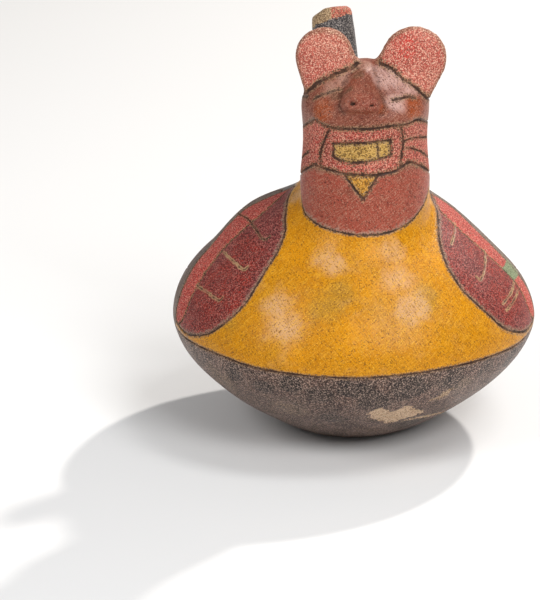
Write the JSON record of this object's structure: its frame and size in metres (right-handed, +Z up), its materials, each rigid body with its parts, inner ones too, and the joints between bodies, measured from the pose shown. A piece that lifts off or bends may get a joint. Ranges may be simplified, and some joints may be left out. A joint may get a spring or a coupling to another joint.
{
  "type": "bird effigy vessel",
  "caption": "Hollow clay bottle in the shape of a bird: squat round chamber, neck with an upright crested head, a leaning rear spout and a strap between head and spout.",
  "frame": {"origin": "centre of the flattened foot, on the surface that the vessel stands on", "axes": "+Z up; the bird looks along -Y; +X is on the bird's own left, which is the viewer's right from the front"},
  "size_m": [0.144, 0.144, 0.1654],
  "materials": {
    "painted_clay": "low-fired earthenware with incised lines and worn resin paints, burnished to a soft sheen"
  },
  "bodies": {
    "root": {"vessel": "painted_clay"}
  },
  "joints": []
}
